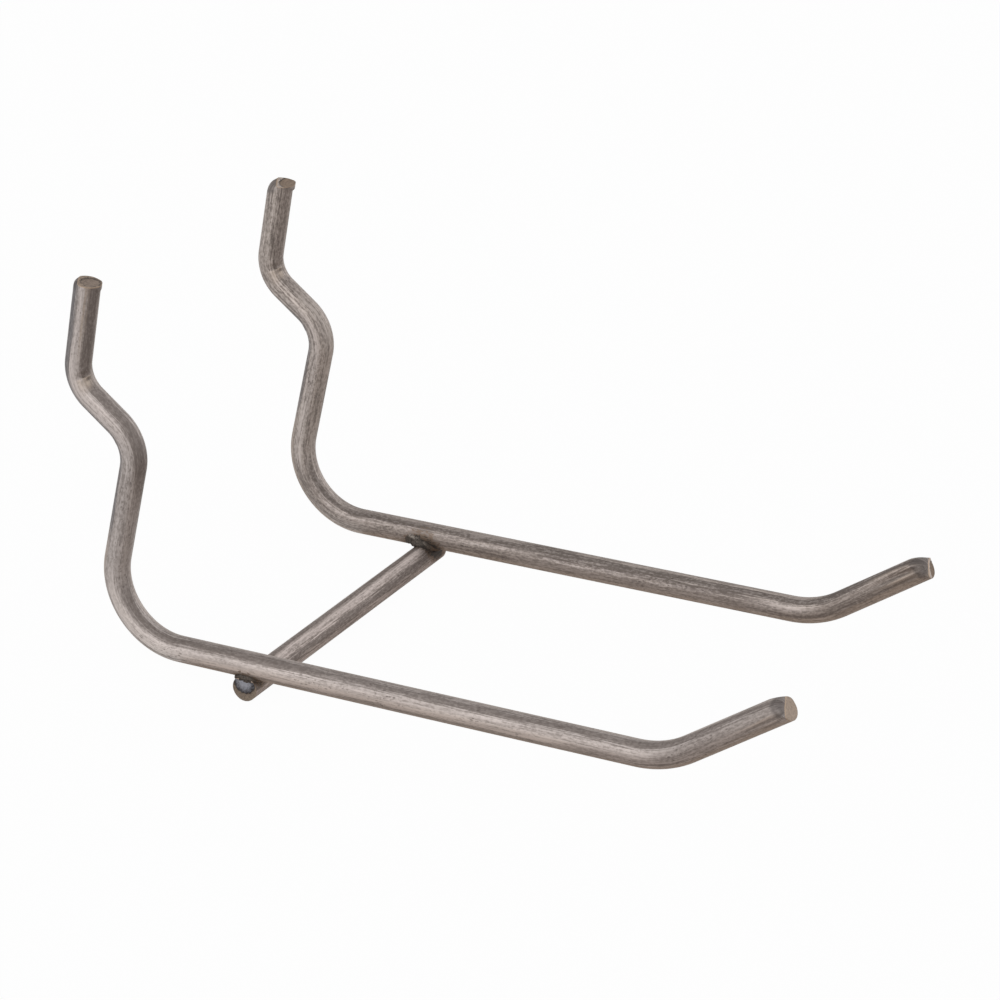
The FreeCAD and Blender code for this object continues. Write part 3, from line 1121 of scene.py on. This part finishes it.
# Painted shade: the band darkens towards the torn part, as much as Band Shade says.
shade = product(tree, ramp_node(tree, depth, 0.12, 0.46), given["Band Shade"])
shade = math_node(tree, "ADD", shade, product(tree, given["Grain"], 0.25), clamp=True)
band_face = mix_colour(tree, shade, given["Band Colour"], shaded_cut)
torn_face = mix_colour(tree, product(tree, given["Grain"], 0.5), given["Torn Colour"], torn_speck)
torn = ramp_node(tree, depth, 0.485, 0.515)
face_colour = mix_colour(tree, torn, band_face, torn_face)
# A painted shadow of the step, where the band meets the torn part.
step = math_node(tree, "ABSOLUTE", math_node(tree, "SUBTRACT", depth, 0.5))
face_colour = mix_colour(tree, ramp_node(tree, step, 0.012, 0.05, 0.7, 0.0), face_colour, step_shadow)
edge = product(tree, cut, math_node(tree, "SUBTRACT", 1.0, cut), 3.2, clamp=True)
face = ramp_node(tree, cut, 0.3, 0.7)
# Dragged skin is darkened, partly as painted shade of the rolled corner.
skin = mix_colour(tree, product(tree, drag, given["Drag"]), given["Steel"], dragged_skin_shade)
coloured = mix_colour(tree, face, skin, face_colour)
tree.links.new(mix_colour(tree, edge, coloured, scraped_edge), result["Colour"])
tree.links.new(product(tree, face, torn), result["Torn"])
print("group", tree.name)

# %% [markdown]
# ## Three drawn wires
#
# Each wire wears the same groups with its own numbers. The near wire is the cleanest:
# pale and mottled, with soft brown bands. The far wire is darker and full of sharp lines,
# with a thin painted highlight between two bands of painted shade. The bar has a painted
# highlight along its upper side and a dull, brown lower one. Many bands are partly tarnish
# and rubbing and partly painted light: dark bands along the top of the arms and the right
# of the legs are painted shade, pale bands on the edges and along the middle are painted
# highlights, and the tan along the undersides is partly a painted warm reflection. A band
# starts and stops along the wire where that tarnish and painted light change. Angles are
# counted round the wire, from the inner side of the hook's bends (for the bar, from its
# top). The sides that the camera doesn't see share one list: a painted highlight between
# two bands of painted shade, as on the front.

# %% Colours that the bands share
# Brown tarnish; along the top of the arms and the right of the legs its bands are partly painted shade.
brown = (0.165, 0.138, 0.125)
# Dark drawing lines in the fine detail; in the hidden-side bands it is painted shade.
dark_line = (0.13, 0.11, 0.10)
# Dark tarnish, laid on the far arm mostly as painted shade where its reflection should be dark.
dark_patch_and_shade = (0.14, 0.117, 0.106)
# Steel rubbed bright in the fine detail; in most bands that use it, it is a painted highlight.
rubbed_and_highlight = (0.52, 0.465, 0.44)
# A painted highlight, paler than the bare steel, along the middle of the near arm.
bright = (0.60, 0.54, 0.505)
# Painted highlights along the wires' edges.
edge_highlight = (0.38, 0.335, 0.31)
# A painted highlight along the top edge of the near arm.
warm_edge_highlight = (0.46, 0.41, 0.38)
dull_grey = (0.33, 0.295, 0.27)
slate = (0.10, 0.098, 0.105)
# Tan stain, which along the undersides is partly a painted warm reflection.
tan = (0.36, 0.30, 0.255)
# Painted light for the sides the camera doesn't see: a painted highlight between two bands of painted
# shade.
hidden_side_sheen = (
    (-9, 50, 100, 10, 10, 0.6, dark_line), (-9, 50, 128, 7, 9, 0.75, rubbed_and_highlight),
    (-9, 50, 162, 14, 12, 0.6, dark_line), (46, 170, 52, 8, 9, 0.7, rubbed_and_highlight),
    (46, 170, 86, 14, 12, 0.6, dark_line))
print("bands on each wire's hidden side", len(hidden_side_sheen))

# %% [markdown]
# The material lays the effects over each other in the order in which they came about:
# lines, bands, fine detail and pits, then tool marks, then heat, and the cut faces last.

# %% One drawn wire's material
# Dark pits; on the near peg a band of it is painted shade.
pit_and_shade_dark = (0.12, 0.10, 0.09)
# Painted shade in the pushed-in ledge slopes and crease grooves.
pushed_in_shade = (0.14, 0.11, 0.092)
# Pale scraped skin after the bends' nose, and a painted highlight on the crease ridges.
scraped_and_ridge_highlight = (0.50, 0.42, 0.355)
nose_pit = (0.06, 0.045, 0.038)
band_wander = 16.0
band_fade = 3.0
seed_step = 5.3


def stored(tree, name):
    """The node that reads a vertex attribute."""
    return add_node(tree, "ShaderNodeAttribute", attribute_name=name)


def wire_finish(name, start, pale, dull, contrast, texture, bands, band_colour, band_shade,
                torn_colour):
    """Bare drawn steel. A band is where it starts and stops along the wire, then its angle,
    half width, softness, amount and colour."""
    # Its bands hold tarnish and rubbing, and also painted highlights and painted shade.
    material, tree, shader = new_material(name)
    place = stored(tree, "wire_place").outputs["Vector"]
    marks = stored(tree, "end_marks").outputs["Vector"]
    pushed, scraped, pitted = split_node(tree, stored(tree, "tool_marks").outputs["Vector"])
    heat = stored(tree, "weld_heat").outputs["Fac"]
    along = split_node(tree, place)[0]
    fine = use_group(tree, lines_group, {"Place": place, "Width": 0.16, "Length": 6.0,
                                         "Start": start})["Lines"]
    broad = use_group(tree, lines_group, {"Place": place, "Width": 0.45, "Length": 13.0,
                                          "Start": start + 3.7})["Lines"]
    mottle, pits = use_group(tree, specks_group, {"Place": place, "Grain": 0.3, "Pit Spacing": 0.3,
                                                  "Pit Share": 0.5, "Start": (start, 0.0, 0.0)})
    middle_tone = 0.5 - sum(contrast) / 2
    tone = weighted_sum(tree, zip((fine, broad, mottle), contrast), middle_tone, clamp=True)
    colour = mix_colour(tree, tone, dull, pale)
    fray = product(tree, math_node(tree, "SUBTRACT", fine, 0.5), band_wander)
    patchy = weighted_sum(tree, ((broad, 0.45), (fine, 0.4)), 0.55)
    # Where any band lies, tarnish and painted light alike; it roughens the steel a little.
    tarnish_and_sheen = 0.0
    for number, (first, last, angle, half, soft, amount, band) in enumerate(bands):
        mask = use_group(tree, band_group, {"Place": place, "Angle": angle, "Half Width": half,
                                            "Softness": soft, "Wander": band_wander, "Fray": fray,
                                            "Start": start + number * seed_step})["Band"]
        begun = ramp_node(tree, along, first - band_fade, first + band_fade)
        not_over = ramp_node(tree, along, last + band_fade, last - band_fade)
        mask = product(tree, mask, begun, not_over, amount, patchy, clamp=True)
        colour = mix_colour(tree, mask, colour, band)
        tarnish_and_sheen = math_node(tree, "MAXIMUM", tarnish_and_sheen, mask)
    detail = weighted_sum(tree, ((fine, 0.5), (mottle, 0.5)))
    colour = mix_colour(tree, ramp_node(tree, detail, 0.5, 0.1, 0.0, texture), colour, dark_line)
    colour = mix_colour(tree, ramp_node(tree, detail, 0.5, 0.9, 0.0, 0.6 * texture), colour, rubbed_and_highlight)
    colour = mix_colour(tree, product(tree, pits, 0.4), colour, pit_and_shade_dark)
    # Painted shade in the ledge slopes and crease grooves.
    colour = mix_colour(tree, product(tree, pushed, 0.4), colour, pushed_in_shade)
    # Scraped skin, and a painted highlight on the crease ridges.
    scraped = product(tree, scraped, ramp_node(tree, broad, 0.1, 0.7, 0.35, 0.9))
    colour = mix_colour(tree, scraped, colour, scraped_and_ridge_highlight)
    colour = mix_colour(tree, product(tree, pitted, 0.75), colour, nose_pit)
    hot = use_group(tree, heat_group, {"Steel": colour, "Heat": heat, "Grain": mottle})
    cut = use_group(tree, cut_group, {"Steel": hot["Colour"], "Marks": marks,
                                      "Band Colour": (*band_colour, 1),
                                      "Torn Colour": (*torn_colour, 1),
                                      "Band Shade": band_shade, "Grain": mottle, "Drag": 0.6})
    tree.links.new(cut["Colour"], shader.inputs["Base Color"])
    rough = weighted_sum(tree, ((tone, -0.10), (tarnish_and_sheen, 0.06), (pits, 0.2), (hot["Scale"], 0.1),
                                (cut["Torn"], 0.2)), 0.60, clamp=True)
    tree.links.new(rough, shader.inputs["Roughness"])
    dullness = product(tree, math_node(tree, "MAXIMUM", hot["Scale"], cut["Torn"]), 0.5)
    tree.links.new(math_node(tree, "SUBTRACT", 1.0, dullness), shader.inputs["Metallic"])
    height = weighted_sum(tree, ((fine, 0.35), (broad, 0.4), (mottle, 0.35), (pits, -0.6)))
    bump = add_node(tree, "ShaderNodeBump", {"Height": height, "Distance": 0.011 * mm,
                                             "Strength": 1.0})
    tree.links.new(bump.outputs[0], shader.inputs["Normal"])
    print(name, len(tree.nodes), "nodes")
    return material


# Near wire: the brown bands between -12 and -31 degrees and the band of pit colour on the peg are
# partly painted shade; the pale bands near the top edge (6 to 24 degrees), the rubbed and bright bands
# between -78 and -96 degrees, and the rubbed lines on the peg are painted highlights; the tan at -142
# degrees is partly a painted warm reflection.
left_finish = wire_finish(
    "near_drawn_steel", 2.0, (0.46, 0.415, 0.395), (0.22, 0.192, 0.178), (0.24, 0.38, 0.3), 0.3,
    ((-9, 170, 95, 22, 18, 0.6, brown), (-9, 170, 150, 16, 20, 0.5, rubbed_and_highlight),
     (-9, 31, -27, 18, 14, 0.66, brown), (31, 48, -22, 18, 14, 0.45, edge_highlight),
     (48, 86, -31, 14, 15, 0.76, brown), (25, 34, -12, 26, 18, 0.6, brown),
     (-9, 20, 22, 12, 16, 0.75, edge_highlight), (42, 138, 24, 12, 14, 0.8, warm_edge_highlight),
     (45, 138, -78, 12, 16, 0.4, rubbed_and_highlight), (48, 124, -96, 13, 12, 0.7, bright),
     (136, 170, -68, 18, 16, 0.45, (0.27, 0.24, 0.225)), (138, 170, 6, 20, 14, 0.8, (0.47, 0.42, 0.39)),
     (6, 24, -86, 20, 18, 0.45, rubbed_and_highlight), (-9, 9, -80, 7, 8, 0.5, rubbed_and_highlight),
     (-9, 12, -20, 22, 12, 0.5, pit_and_shade_dark),
     (-9, 9, -60, 4, 6, 0.7, tan), (-9, 15, -122, 12, 14, 0.75, slate),
     (15, 40, -127, 8, 8, 0.75, slate),
     (50, 170, -118, 2, 6, 0.55, dark_line), (40, 170, -142, 14, 10, 0.8, tan),
     (86, 170, -27, 11, 14, 0.7, brown), (84, 128, -122, 9, 9, 0.4, dull_grey), *hidden_side_sheen),
    (0.35, 0.28, 0.225), 0.0, (0.33, 0.262, 0.215))
# Far wire: the dark bands between -10 and -80 degrees and the darker band at -54 degrees are partly
# tarnish and partly painted shade; the thin rubbed lines at -58 and -71 degrees, the rubbed bands at
# -72 and -88 degrees and the pale edge bands at -4 and 10 degrees are painted highlights; the pale
# bands at -90 and -104 degrees lighten the underside as painted light; the tan at -138 and 178 degrees
# is partly a painted warm reflection.
right_finish = wire_finish(
    "far_drawn_steel", 31.0, (0.46, 0.405, 0.37), (0.185, 0.158, 0.142), (0.42, 0.55, 0.3), 0.5,
    ((-9, 170, 75, 16, 16, 0.7, brown), (-9, 170, 125, 14, 18, 0.5, rubbed_and_highlight),
     (-9, 170, 178, 12, 12, 0.5, tan), (-9, 20, -30, 14, 14, 0.5, brown),
     (48, 170, -31, 12, 13, 0.85, dark_patch_and_shade), (48, 170, -80, 24, 12, 0.8, (0.235, 0.20, 0.18)),
     (-9, 170, 10, 10, 16, 0.65, edge_highlight), (54, 90, -58, 1.5, 5, 0.7, rubbed_and_highlight),
     (20, 48, -88, 12, 14, 0.45, rubbed_and_highlight), (22, 46, -18, 16, 14, 0.6, (0.46, 0.41, 0.375)),
     (20, 48, -130, 10, 8, 0.6, slate), (138, 170, -14, 8, 8, 0.7, dark_line),
     (90, 124, -44, 26, 16, 0.5, (0.175, 0.15, 0.135)), (127, 136, -72, 10, 12, 0.6, rubbed_and_highlight),
     (140, 170, -108, 26, 16, 0.5, (0.19, 0.165, 0.15)), (48, 170, -106, 5, 8, 0.35, dark_line),
     (40, 170, -138, 20, 12, 0.8, tan), (50, 88, -4, 12, 10, 0.5, edge_highlight),
     (93, 126, -54, 9, 7, 1.0, dark_patch_and_shade), (93, 122, -71, 2, 4, 0.9, rubbed_and_highlight),
     (88, 130, -104, 14, 12, 0.5, (0.38, 0.34, 0.32)), (50, 88, -90, 14, 14, 0.3, (0.36, 0.32, 0.295)),
     (90, 99, -10, 12, 10, 0.6, dark_patch_and_shade), (115, 127, -74, 8, 8, 0.7, (0.19, 0.162, 0.147)),
     *hidden_side_sheen),
    (0.50, 0.435, 0.39), 0.0, (0.33, 0.25, 0.19))
# The bar's pale band at 20 degrees is a painted highlight, and its Band Shade of 0.75 darkens the
# blade's band on its cut faces as painted shade.
bar_finish = wire_finish(
    "bar_drawn_steel", 67.0, (0.46, 0.40, 0.375), (0.21, 0.18, 0.162), (0.45, 0.55, 0.3), 0.35,
    ((-9, 99, 20, 6, 9, 0.9, (0.60, 0.53, 0.50)), (-9, 99, -12, 12, 8, 0.5, brown),
     (-9, 99, 70, 12, 13, 0.75, brown), (-9, 99, 150, 22, 14, 0.5, brown),
     (-9, 99, -95, 16, 16, 0.5, rubbed_and_highlight), (-9, 99, -150, 10, 12, 0.5, tan)),
    (0.36, 0.38, 0.43), 0.75, (0.28, 0.225, 0.175))

# %% [markdown]
# ## Weld scale
#
# The collars froze out of half-molten steel and are covered in black scale, which has
# flaked off in places and let the metal under it rust. Two noises of different grain
# choose between scale, rust and a little bare metal, and together they give the blisters.
# The pale line along the far collar's lip is a painted highlight in the colour of bare metal.

# %% Weld scale's material
scale_black = (0.040, 0.034, 0.029)
scale_grey = (0.100, 0.084, 0.071)
flaked_rust = (0.10, 0.066, 0.045)
edge_rust = (0.115, 0.072, 0.046)
bare_metal_and_lip_highlight = (0.34, 0.30, 0.265)
scale_finish, tree, shader = new_material("weld_scale")
place = add_node(tree, "ShaderNodeTexCoord").outputs["Object"]
patches = noise_node(tree, place, 900.0, 4.0, 0.6)
grain = noise_node(tree, place, 3200.0, 3.0, 0.6)
colour = mix_colour(tree, ramp_node(tree, grain, 0.35, 0.65), scale_black, scale_grey)
colour = mix_colour(tree, ramp_node(tree, patches, 0.56, 0.7), colour, flaked_rust)
lip, edge, _ = split_node(tree, stored(tree, "collar_marks").outputs["Vector"])
rusted = product(tree, edge, ramp_node(tree, grain, 0.4, 0.6, 0.25, 0.9))
colour = mix_colour(tree, rusted, colour, edge_rust)
bare_and_lip_sheen = product(tree, ramp_node(tree, grain, 0.62, 0.72), ramp_node(tree, patches, 0.5, 0.35))
# The lip: a painted highlight, a thin pale line along the far collar's lip.
lip = product(tree, lip, ramp_node(tree, grain, 0.42, 0.55))
bare_and_lip_sheen = math_node(tree, "MAXIMUM", bare_and_lip_sheen, lip)
tree.links.new(mix_colour(tree, bare_and_lip_sheen, colour, bare_metal_and_lip_highlight), shader.inputs["Base Color"])
tree.links.new(ramp_node(tree, grain, 0.3, 0.7, 0.45, 0.7), shader.inputs["Roughness"])
tree.links.new(ramp_node(tree, patches, 0.53, 0.68, 0.75, 0.15), shader.inputs["Metallic"])
blisters = weighted_sum(tree, ((patches, 0.6), (grain, 0.5)))
bump = add_node(tree, "ShaderNodeBump", {"Height": blisters, "Distance": 0.09 * mm, "Strength": 1.0})
tree.links.new(bump.outputs[0], shader.inputs["Normal"])
print("weld_scale", len(tree.nodes), "nodes")

# %% [markdown]
# ## Handing the pieces over
#
# Each piece gets its finish, smooth shading with its sharp edges kept, and the body it
# rides on, and the CAD solid that it stands for is hidden. The whole hook is one rigid
# thing, so all of it rides on the root.

# %% Hand the pieces over
smooth_angle = math.radians(40)
for piece, finish, node, slot in (
        (left_wire, left_finish, "left_wire", "drawn_wire"),
        (right_wire, right_finish, "right_wire", "drawn_wire"),
        (cross_bar, bar_finish, "cross_bar", "cross_bar_wire"),
        (left_weld, scale_finish, "left_weld", "weld_flash"),
        (right_weld, scale_finish, "right_weld", "weld_flash")):
    piece.data.materials.append(finish)
    select_only(piece)
    bpy.ops.object.shade_smooth_by_angle(angle=smooth_angle)
    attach(piece, "root")
    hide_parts(node)
    print(piece.name, "triangles", sum(len(p.vertices) - 2 for p in piece.data.polygons))
